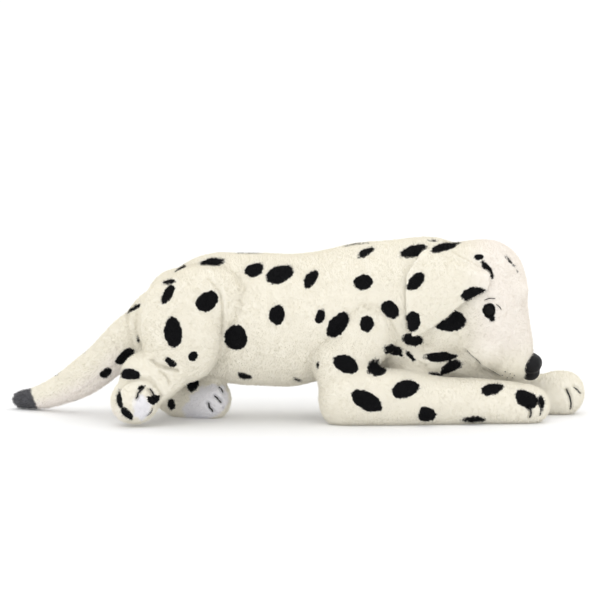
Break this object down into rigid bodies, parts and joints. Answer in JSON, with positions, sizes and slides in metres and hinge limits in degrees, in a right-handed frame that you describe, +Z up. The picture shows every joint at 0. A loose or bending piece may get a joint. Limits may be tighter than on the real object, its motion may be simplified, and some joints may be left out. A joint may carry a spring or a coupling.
{
  "type": "plush dog",
  "caption": "Lying plush dog in short spotted pile with sewn panels over fibre filling, soft joints at the neck, ears, tail and legs, and a chin that rests on the forelegs.",
  "frame": {"origin": "on the floor, under the centre of the whole dog's box", "axes": "+X the way the dog looks, +Z up, -Y the dog's right side"},
  "size_m": [0.81, 0.24, 0.2549],
  "materials": {
    "ivory_plush": "matt short pile, printed with near-black spots",
    "pink_plush": "matt short pile",
    "grey_plush": "matt short pile",
    "sole_plush": "matt short pile",
    "black_felt": "matt felt",
    "black_thread": "satin embroidery thread",
    "polyester_fibre": "loose fibre",
    "washer_plastic": "moulded",
    "eye_plastic": "gloss",
    "nose_plastic": "semi-gloss grained"
  },
  "bodies": {
    "torso": {"torso_panel_right": "ivory_plush", "torso_panel_left": "ivory_plush", "belly_panel": "ivory_plush", "torso_filling": "polyester_fibre"},
    "neck": {"neck_cover": "ivory_plush", "neck_filling": "polyester_fibre"},
    "head": {"forehead_strip": "ivory_plush", "head_panel_right": "ivory_plush", "head_panel_left": "ivory_plush", "chin_panel": "ivory_plush", "head_filling": "polyester_fibre", "nose": "nose_plastic", "nose_washer": "washer_plastic", "eye_right": "eye_plastic", "eye_left": "eye_plastic", "eye_washer_right": "washer_plastic", "eye_washer_left": "washer_plastic", "eyelid_right": "black_felt", "eyelid_left": "black_felt", "mouth_thread": "black_thread"},
    "ear_right": {"ear_right_outer": "ivory_plush", "ear_right_lining": "pink_plush"},
    "ear_left": {"ear_left_outer": "ivory_plush", "ear_left_lining": "pink_plush"},
    "tail_root": {"tail_root_cover": "ivory_plush", "tail_root_filling": "polyester_fibre"},
    "tail": {"tail_upper_cover": "ivory_plush", "tail_lower_cover": "pink_plush", "tail_tip_cover": "grey_plush", "tail_filling": "polyester_fibre"},
    "foreleg_right": {"foreleg_right_outer_panel": "ivory_plush", "foreleg_right_inner_panel": "ivory_plush", "foreleg_right_filling": "polyester_fibre", "foreleg_right_toe_thread_outer": "black_thread", "foreleg_right_toe_thread_inner": "black_thread"},
    "foreleg_left": {"foreleg_left_outer_panel": "ivory_plush", "foreleg_left_inner_panel": "ivory_plush", "foreleg_left_filling": "polyester_fibre", "foreleg_left_toe_thread_outer": "black_thread", "foreleg_left_toe_thread_inner": "black_thread"},
    "hindleg_right": {"thigh_right_cover": "ivory_plush", "thigh_right_filling": "polyester_fibre", "lower_leg_right_cover": "ivory_plush", "sole_pad_right": "sole_plush", "lower_leg_right_filling": "polyester_fibre", "hind_right_toe_thread_outer": "black_thread", "hind_right_toe_thread_inner": "black_thread"},
    "hindleg_left": {"thigh_left_cover": "ivory_plush", "thigh_left_filling": "polyester_fibre", "lower_leg_left_cover": "ivory_plush", "sole_pad_left": "sole_plush", "lower_leg_left_filling": "polyester_fibre", "hind_left_toe_thread_outer": "black_thread", "hind_left_toe_thread_inner": "black_thread"}
  },
  "joints": [
    {"name": "neck_turn", "type": "hinge", "parent": "torso", "child": "neck", "pos_m": [0.165, 0.01439, 0.165], "axis": [0, 0, 1], "range_deg": [-12, 12]},
    {"name": "neck_nod", "type": "hinge", "parent": "neck", "child": "head", "pos_m": [0.165, 0.01439, 0.165], "axis": [0, -1, 0], "range_deg": [0, 25]},
    {"name": "ear_right_flap", "type": "hinge", "parent": "head", "child": "ear_right", "pos_m": [0.217, -0.05161, 0.2245], "axis": [-0.9249, 0, 0.3802], "range_deg": [0, 60]},
    {"name": "ear_left_flap", "type": "hinge", "parent": "head", "child": "ear_left", "pos_m": [0.217, 0.08039, 0.2245], "axis": [0.9249, 0, -0.3802], "range_deg": [0, 60]},
    {"name": "tail_wag", "type": "hinge", "parent": "torso", "child": "tail_root", "pos_m": [-0.231, 0.01439, 0.125], "axis": [0, 0, 1], "range_deg": [-15, 50]},
    {"name": "tail_lift", "type": "hinge", "parent": "tail_root", "child": "tail", "pos_m": [-0.231, 0.01439, 0.125], "axis": [0.5, 0.866, 0], "range_deg": [0, 35]},
    {"name": "foreleg_right_splay", "type": "hinge", "parent": "torso", "child": "foreleg_right", "pos_m": [0.048, -0.04761, 0.036], "axis": [0, 0, -1], "range_deg": [0, 18]},
    {"name": "foreleg_left_splay", "type": "hinge", "parent": "torso", "child": "foreleg_left", "pos_m": [0.104, 0.07639, 0.036], "axis": [0, 0, 1], "range_deg": [0, 18]},
    {"name": "hindleg_right_lift", "type": "hinge", "parent": "torso", "child": "hindleg_right", "pos_m": [-0.166, -0.06061, 0.205], "axis": [-1, 0, 0], "range_deg": [0, 20]},
    {"name": "hindleg_left_swing", "type": "hinge", "parent": "torso", "child": "hindleg_left", "pos_m": [-0.205, 0.08439, 0.137], "axis": [0, 0, 1], "range_deg": [0, 25]}
  ]
}
